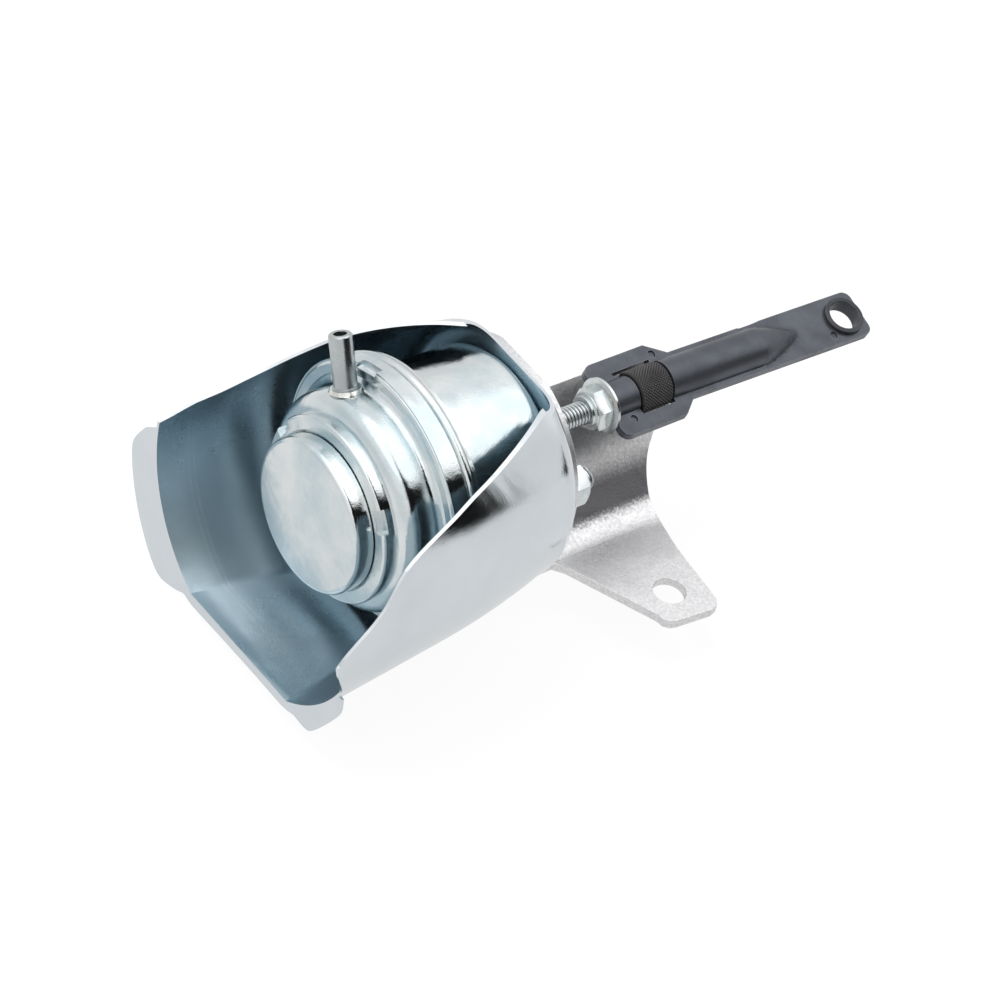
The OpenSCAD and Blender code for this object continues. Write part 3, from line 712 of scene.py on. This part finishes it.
class ACTUATOR_OT_shield(bpy.types.Operator):
    """Rounds the heat shield's edges and bends, and gives its inside a darker copy of the zinc as
    painted shade
    """
    bl_idname = "actuator.shield"
    bl_label = "Heat shield"

    def execute(self, context):
        bm = merged_copy("heat_shield")
        bm.normal_update()
        mouth = min(on_x(v.co) for v in bm.verts)
        fold(bm, mouth, RIM_ROUND * MM)
        bm.normal_update()
        # The inside's faces take the darker finish, painted shade
        for face in bm.faces:
            face.material_index = 1 if is_inner(face, mouth) else 0
        made = piece("shield_pressing", bm, ["shield_zinc_outside", "shield_zinc_inside_shaded"], "can",
                     ["heat_shield"])
        rounded_edges(made, context.scene.actuator_shapes.edge_round)
        return {"FINISHED"}


class ACTUATOR_OT_bracket(bpy.types.Operator):
    """Rounds the bracket's blanked edges"""
    bl_idname = "actuator.bracket"
    bl_label = "Bracket"

    def execute(self, context):
        dress("bracket", "bracket_plate", "bracket_steel", "can", 0.35 * MM, 3)
        return {"FINISHED"}


class ACTUATOR_OT_fasteners(bpy.types.Operator):
    """Cuts the studs' threads and rounds their nuts and washers"""
    bl_idname = "actuator.fasteners"
    bl_label = "Studs and nuts"

    def execute(self, context):
        dress("stud_nuts", "stud_nut_pair", "fastener_zinc", "can", 0.2 * MM)
        dress("stud_washers", "stud_washer_pair", "fastener_zinc", "can",
              0.12 * MM)
        low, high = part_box("studs")
        middle = (low.y + high.y) / 2
        inset, shank, close = 0.1, 3.5, 1e-5
        tips = [v.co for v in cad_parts["studs"].data.vertices if v.co.x > high.x - close]
        whole = bmesh.new()
        for side in (-1, 1):
            own = [c for c in tips if (c.y - middle) * side > 0]
            centre = ((middle_of(c.y for c in own) - AXIS_Y) / MM,
                      (middle_of(c.z for c in own) - AXIS_Z) / MM)
            bm = screw(on_x(low) + inset, on_x(high), M6_RADIUS,
                       (on_x(low), on_x(low) + shank), centre)
            part = bpy.data.meshes.new("stud")
            bm.to_mesh(part)
            bm.free()
            whole.from_mesh(part)
            bpy.data.meshes.remove(part)
        piece("stud_threads", whole, "thread_zinc", "can", ["studs"], 50)
        return {"FINISHED"}


class ACTUATOR_OT_rod(bpy.types.Operator):
    """Cuts the rod's thread"""
    bl_idname = "actuator.rod"
    bl_label = "Threaded rod"

    def execute(self, context):
        low, high, shank = on_x(ROD_LOW), on_x(ROD_HIGH), 24
        bm = screw(low, high, M6_RADIUS, (low, low + shank))
        piece("rod_thread", bm, "thread_zinc", "rod", ["rod"], 50)
        return {"FINISHED"}


def on_outside(vert, side):
    """Whether a vertex is on a plate's outer face: side is 1 for the upper plate, else -1."""
    return vert.normal.dot(PLATE_UP) * side > 0.2


def in_tip(vert, margin=0.0):
    """Whether a vertex lies where the rod end's tube runs out."""
    return TIP_LOW - margin < on_x(vert.co) < TIP_HIGH + margin


def across(vert):
    """How far a vertex is from the middle of the plate."""
    return abs((vert.co - at(0, 0, 0)).dot(PLATE_ACROSS))


def cut_grid(bm, step):
    """Cuts the plate around the tube's tip into squares that can be smoothed."""
    cuts = [(at(TIP_LOW + k * step, 0, 0), Vector((1, 0, 0)))
            for k in range(int((TIP_HIGH - TIP_LOW) / step))]
    side_cuts = 13
    cuts += [(at(0, 0, 0) + PLATE_ACROSS * (k * step * MM), PLATE_ACROSS)
             for k in range(-side_cuts, side_cuts + 1)]
    for place, facing in cuts:
        faces = []
        for face in bm.faces:
            reach = [on_x(v.co) for v in face.verts]
            if all(in_tip(v, margin=1) for v in face.verts) or (
                    facing.x > 0.5 and min(reach) < TIP_HIGH and max(reach) > TIP_LOW):
                faces.append(face)
        geom = dict.fromkeys(one for f in faces for one in (*f.verts, *f.edges, f))
        bmesh.ops.bisect_plane(bm, geom=list(geom), dist=1e-6, plane_co=place, plane_no=facing)
    bmesh.ops.remove_doubles(bm, verts=bm.verts, dist=2e-5)


def run_out(bm, side):
    """Lets the tube's tip run out softly into the plate, as a pressing does."""
    least_angle, grid = math.radians(18), 0.55
    # Outer vertices within reach of the crease are smoothed, but for a margin at the edge
    reach, margin = 2.4, 0.4 * MM
    strength, rounds, pull = 1.6, 14, 0.6
    bm.normal_update()
    crease = [e for e in bm.edges if len(e.link_faces) == 2 and not e.is_convex
              and e.calc_face_angle() > least_angle and all(in_tip(v) for v in e.verts)
              and on_outside(e.verts[0], side)]
    tree = KDTree(2 * len(crease))
    for i, vert in enumerate(v for e in crease for v in e.verts):
        tree.insert(vert.co, i)
    tree.balance()
    cut_grid(bm, grid)
    bm.normal_update()
    tip = [v for v in bm.verts if in_tip(v)]
    half = max(across(v) for v in tip)
    share = {}
    for vert in tip:
        away = tree.find(vert.co)[2] / MM
        if on_outside(vert, side) and away < reach and across(vert) < half - margin:
            share[vert] = min(1.0, strength * (1 - away / reach))
    for _ in range(rounds):
        moved = {}
        for vert, amount in share.items():
            around = [e.other_vert(vert).co for e in vert.link_edges]
            lift = (sum(around, Vector()) / len(around) - vert.co).dot(PLATE_UP)
            moved[vert] = vert.co + PLATE_UP * (lift * pull * amount)
        for vert, co in moved.items():
            vert.co = co


class ACTUATOR_OT_rod_end(bpy.types.Operator):
    """Rounds the rod end's plates, its eye's bush and its clinches"""
    bl_idname = "actuator.rod_end"
    bl_label = "Rod end"

    def execute(self, context):
        sides = {"rod_end_upper": 1, "rod_end_lower": -1}
        for node, name, finish, width in (
                ("rod_end_upper", "rod_end_top", "rod_end_steel", 0.2),
                ("rod_end_lower", "rod_end_bottom", "rod_end_steel", 0.2),
                ("eye_bush", "eye_collar", "eye_steel", 0.25),
                ("clinches", "clinch_points", "rod_end_steel", 0.1)):
            bm = merged_copy(node)
            if node in sides:
                run_out(bm, sides[node])
            made = piece(name, bm, finish, "rod_end", [node])
            rounded_edges(made, width * MM)
        return {"FINISHED"}


class ACTUATOR_OT_barrel(bpy.types.Operator):
    """Knurls the barrel"""
    bl_idname = "actuator.barrel"
    bl_label = "Knurled barrel"

    def execute(self, context):
        shapes = context.scene.actuator_shapes
        box_low, box_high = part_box("knurled_barrel")
        low, high = on_x(box_low), on_x(box_high)
        r = (box_high.z - box_low.z) / 2 / MM
        teeth, depth = shapes.knurl_teeth, shapes.knurl_depth / MM
        pitch = 2 * math.pi * r / teeth
        flat, chamfer, bore = 1.6, 0.55, 3.1  # the teeth's flat tops; the others in millimetres
        columns_a_tooth, rows_a_tooth = 6, 7

        def radius_at(x, turn):
            tooth = min(wave(x / pitch + turn * teeth), wave(x / pitch - turn * teeth))
            full = r - depth * (1 - min(1.0, flat * tooth))
            lead = max(0.0, min(x - low, high - x))
            return min(full, r - chamfer + lead)
        rows = int((high - low) / pitch * rows_a_tooth)
        bm = wrapped(low, high, teeth * columns_a_tooth, rows, radius_at, r, depth)
        ends = [edge for loop in end_loops(bm) for edge in step_in(bm, loop, bore)]
        bmesh.ops.bridge_loops(bm, edges=ends)
        bmesh.ops.recalc_face_normals(bm, faces=bm.faces)
        piece("barrel_knurl", bm, "barrel_steel", "barrel", ["knurled_barrel"],
              20)
        return {"FINISHED"}


class ACTUATOR_OT_lock_nut(bpy.types.Operator):
    """Rounds the lock nut"""
    bl_idname = "actuator.lock_nut"
    bl_label = "Lock nut"

    def execute(self, context):
        dress("lock_nut", "lock_nut_flanged", "fastener_zinc", "lock_nut",
              0.2 * MM)
        return {"FINISHED"}


class ACTUATOR_OT_inner(bpy.types.Operator):
    """Gives the return spring and the diaphragm their own copies of their meshes"""
    bl_idname = "actuator.inner"
    bl_label = "Spring and diaphragm"

    def execute(self, context):
        for node, finish, fixed_end in (("return_spring", "spring_steel", 1.8),
                                        ("diaphragm", "diaphragm_rubber", 22.6)):
            made = piece(node + "_soft", merged_copy(node), finish, "can", [node])
            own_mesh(made)
        return {"FINISHED"}


class ACTUATOR_OT_studio(bpy.types.Operator):
    """Sets the floor, the lights, the world and the camera"""
    bl_idname = "actuator.studio"
    bl_label = "Studio"

    def execute(self, context):
        scene = context.scene
        s = scene.actuator_studio
        scene.view_settings.view_transform = "Standard"
        low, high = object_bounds()
        floor_half, floor_gap = 3.0, 0.5 * MM
        bm = bmesh.new()
        bmesh.ops.create_grid(bm, x_segments=1, y_segments=1, size=floor_half)
        mesh = bpy.data.meshes.new("floor")
        bm.to_mesh(mesh)
        bm.free()
        floor = bpy.data.objects.new("floor", mesh)
        floor.location = (0, 0, low[2] - floor_gap)
        scene.collection.objects.link(floor)
        floor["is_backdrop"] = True
        mesh.materials.append(floor_material(s.floor))
        scene.world = bpy.data.worlds.new("studio")
        world_light(scene.world)
        centre = (Vector(low) + Vector(high)) / 2
        lamp("key", KEY_PLACE, centre, s.key_power, KEY_SIZE)
        lamp("fill", FILL_PLACE, centre, s.fill_power, FILL_SIZE)
        scene.camera = photo_camera(s.lens)
        return {"FINISHED"}


def photo_camera(lens):
    """A camera where the photograph's was."""
    camera = bpy.data.cameras.new("camera")
    camera.lens = lens
    camera.sensor_width = SENSOR_WIDTH
    camera.clip_start = 0.01
    made = bpy.data.objects.new("camera", camera)
    bpy.context.scene.collection.objects.link(made)
    back = Vector(CAMERA_BACK).normalized()
    up = back.cross(Vector(CAMERA_RIGHT).normalized()).normalized()
    matrix = Matrix((up.cross(back), up, back)).transposed().to_4x4()
    matrix.translation = Vector(CAMERA_PLACE)
    made.matrix_world = matrix
    return made


def floor_material(colour):
    """A white floor that still takes the object's shadow."""
    made = bpy.data.materials.new("floor")
    made.use_nodes = True
    tree = made.node_tree
    shader = tree.nodes["Principled BSDF"]
    shader.inputs["Base Color"].default_value = rgba(colour)
    shader.inputs["Roughness"].default_value = 0.8
    shader.inputs["Specular IOR Level"].default_value = 0.0
    white = add(tree, "ShaderNodeEmission")
    white.inputs["Color"].default_value = rgba((1, 1, 1))
    strength, paths = full_for_camera(tree, FLOOR_LEVEL)
    link(tree, strength, white.inputs["Strength"])
    seen = math_node(tree, "MAXIMUM", paths.outputs["Is Camera Ray"],
                     paths.outputs["Is Glossy Ray"])
    mixed = add(tree, "ShaderNodeMixShader")
    link(tree, product(tree, seen, FLOOR_SHARE), mixed.inputs[0])
    link(tree, shader.outputs[0], mixed.inputs[1])
    link(tree, white.outputs[0], mixed.inputs[2])
    link(tree, mixed.outputs[0], tree.nodes["Material Output"].inputs["Surface"])
    return made


def world_light(world):
    """White to the camera. Other rays see a light tent with a dark opening and a bright roof."""
    world.use_nodes = True
    tree = world.node_tree
    back = tree.nodes["Background"]
    split = add(tree, "ShaderNodeSeparateXYZ")
    link(tree, add(tree, "ShaderNodeTexCoord").outputs["Generated"], split.inputs[0])
    turn = math_node(tree, "ARCTAN2", split.outputs["Y"], split.outputs["X"])
    height = split.outputs["Z"]
    # The opening is to the right of the camera, from the floor up to a slanting top
    slant = product(tree, math_node(tree, "ADD", turn, OPENING_CORNER), OPENING_SLANT)
    opening = product(tree, fall(tree, turn, *OPENING_RIGHT), spread(tree, turn, *OPENING_LEFT),
                      spread(tree, height, *OPENING_BOTTOM),
                      fall(tree, math_node(tree, "ADD", height, slant), *OPENING_TOP))
    # A panel of the roof is brighter: above and in front of the rod, and all round at the top
    front = product(tree, spread(tree, turn, *PANEL_RIGHT), fall(tree, turn, *PANEL_LEFT),
                    spread(tree, height, *PANEL_FOOT))
    panel = math_node(tree, "MAXIMUM", front, spread(tree, height, *PANEL_ROUND))
    roof = math_node(tree, "ADD", spread(tree, height, *ROOF_EDGE, *ROOF_LEVELS),
                     product(tree, panel, PANEL_LEVEL))
    tent = product(tree, roof, spread(tree, opening, 0.0, 1.0, 1.0, OPENING_LEVEL))
    link(tree, full_for_camera(tree, tent)[0], back.inputs["Strength"])
    back.inputs["Color"].default_value = rgba((1, 1, 1))


def lamp(name, place, target, power, size):
    """A round lamp that faces the target and leaves no glint of its own."""
    light = bpy.data.lights.new(name, "AREA")
    light.energy = power
    light.shape = "DISK"
    light.size = size
    made = bpy.data.objects.new(name, light)
    bpy.context.scene.collection.objects.link(made)
    made.location = place
    made.visible_glossy = False
    made.rotation_euler = (target - Vector(place)).to_track_quat("-Z", "Y").to_euler()
    return made


class ACTUATOR_PT_panel(bpy.types.Panel):
    """Lists the actuator's pieces and settings"""
    bl_idname = "ACTUATOR_PT_panel"
    bl_label = "Vacuum actuator"
    bl_space_type = "VIEW_3D"
    bl_region_type = "UI"
    bl_category = "Actuator"

    def draw(self, context):
        for operator in OPERATORS:
            self.layout.operator(operator.bl_idname)
        for name in ("actuator_shapes", "actuator_finishes", "actuator_studio"):
            settings = getattr(context.scene, name)
            box = self.layout.box()
            for key in settings.__annotations__:
                box.prop(settings, key)


SETTINGS = {"actuator_shapes": ActuatorShapes, "actuator_finishes": ActuatorFinishes,
            "actuator_studio": ActuatorStudio}
OPERATORS = (ACTUATOR_OT_finishes, ACTUATOR_OT_cans, ACTUATOR_OT_nipple, ACTUATOR_OT_shield,
             ACTUATOR_OT_bracket, ACTUATOR_OT_fasteners, ACTUATOR_OT_rod, ACTUATOR_OT_rod_end,
             ACTUATOR_OT_barrel, ACTUATOR_OT_lock_nut, ACTUATOR_OT_inner, ACTUATOR_OT_studio)


def register():
    """Adds the settings, the operators and the panel."""
    for name, settings in SETTINGS.items():
        bpy.utils.register_class(settings)
        setattr(bpy.types.Scene, name, PointerProperty(type=settings))
    for one in OPERATORS + (ACTUATOR_PT_panel,):
        bpy.utils.register_class(one)


def unregister():
    """Takes away what register added."""
    for one in reversed(OPERATORS + (ACTUATOR_PT_panel,)):
        bpy.utils.unregister_class(one)
    for name, settings in SETTINGS.items():
        delattr(bpy.types.Scene, name)
        bpy.utils.unregister_class(settings)


def plain(bounds):
    """The two corners of a box as plain lists."""
    return [[float(n) for n in corner] for corner in bounds]


def main():
    """Registers the add-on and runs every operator."""
    before = plain(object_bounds())
    register()
    for one in OPERATORS:
        family, name = one.bl_idname.split(".")
        getattr(getattr(bpy.ops, family), name)()
    after = plain(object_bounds())


if __name__ == "__main__":
    main()
